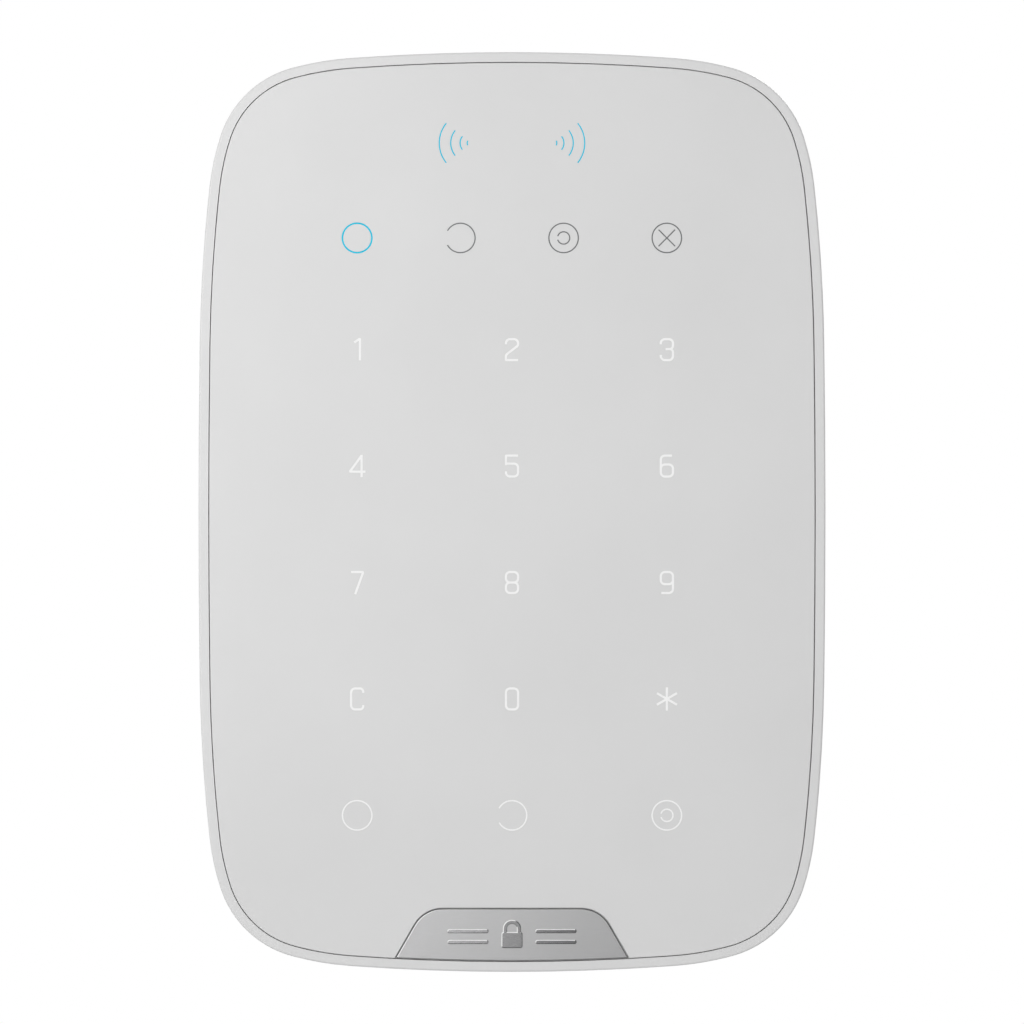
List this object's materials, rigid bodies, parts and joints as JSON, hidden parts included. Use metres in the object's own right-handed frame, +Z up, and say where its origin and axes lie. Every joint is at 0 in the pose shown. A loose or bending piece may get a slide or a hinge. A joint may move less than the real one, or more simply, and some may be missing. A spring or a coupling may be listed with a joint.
{
  "type": "alarm keypad panel",
  "caption": "Flat wall keypad with rounded corners, touch keys lit from behind, a metal badge, and a slide-on wall plate with a tamper tab.",
  "frame": {"origin": "middle of the four wall screw holes, in the wall plane", "axes": "+Z up, +Y into the wall, +X to the right seen from the front; the keys face -Y"},
  "size_m": [0.1126, 0.02, 0.1652],
  "materials": {
    "housing_plastic": "fine satin",
    "panel_plastic": "satin",
    "plate_plastic": "fine texture",
    "cover_plastic": "fine texture",
    "badge_metal": "fine brushed",
    "mark_metal": "polished",
    "white_window": "translucent",
    "grey_window": "translucent",
    "blue_window": "translucent",
    "mask_plastic": "matte",
    "board_laminate": "solder mask",
    "copper": "plated",
    "led_resin": "clear resin",
    "chip_resin": "moulded",
    "tinned_steel": "tinned",
    "spring_steel": "nickel plated",
    "screw_steel": "zinc plated",
    "cell_wrap": "printed film over steel",
    "capacitor_can": "satin",
    "switch_plastic": "moulded",
    "button_plastic": "moulded",
    "plunger_plastic": "acetal",
    "buzzer_plastic": "moulded",
    "label_film": "film"
  },
  "bodies": {
    "wall_bracket": {"mounting_plate": "plate_plastic"},
    "lock_screw": {"lock_screw": "screw_steel"},
    "battery_cover": {"battery_cover": "cover_plastic", "cover_screws": "screw_steel", "rating_label": "label_film"},
    "tamper_plunger": {"tamper_plunger": "plunger_plastic"},
    "power_button": {"power_button": "button_plastic"},
    "keypad": {"rear_housing": "housing_plastic", "front_panel": "panel_plastic", "badge": "badge_metal", "badge_mark": "mark_metal", "key_legends": "white_window", "mode_legends": "white_window", "status_legends": "grey_window", "armed_legend": "blue_window", "reader_legends": "blue_window", "light_mask": "mask_plastic", "main_board": "board_laminate", "touch_electrodes": "copper", "reader_coil": "copper", "legend_leds": "led_resin", "microcontroller": "chip_resin", "touch_controller": "chip_resin", "reader_chip": "chip_resin", "radio_shield": "tinned_steel", "radio_antennas": "tinned_steel", "crystal": "tinned_steel", "buzzer": "buzzer_plastic", "capacitors": "capacitor_can", "chip_resistors": "chip_resin", "tamper_switch": "switch_plastic", "power_switch": "switch_plastic", "battery_springs": "spring_steel", "battery_plates": "spring_steel", "battery_1": "cell_wrap", "battery_2": "cell_wrap", "battery_3": "cell_wrap", "battery_4": "cell_wrap", "housing_screws": "screw_steel", "board_screws": "screw_steel", "tamper_spring": "spring_steel"}
  },
  "joints": [
    {"name": "keypad_lift", "type": "slide", "parent": "wall_bracket", "child": "keypad", "axis": [0, 0, 1], "range_m": [0, 0.008]},
    {"name": "lock_screw_back_off", "type": "slide", "parent": "wall_bracket", "child": "lock_screw", "axis": [0, 0, -1], "range_m": [0, 0.006]},
    {"name": "battery_cover_off", "type": "slide", "parent": "keypad", "child": "battery_cover", "axis": [0, 1, 0], "range_m": [0, 0.02]},
    {"name": "tamper_press", "type": "slide", "parent": "keypad", "child": "tamper_plunger", "axis": [0, -1, 0], "range_m": [0, 0.0012], "stiffness_N_per_m": 600, "springref_m": -0.0008, "deforming": ["tamper_spring"]},
    {"name": "power_press", "type": "slide", "parent": "keypad", "child": "power_button", "axis": [0, -1, 0], "range_m": [0, 0.0007], "stiffness_N_per_m": 800}
  ]
}
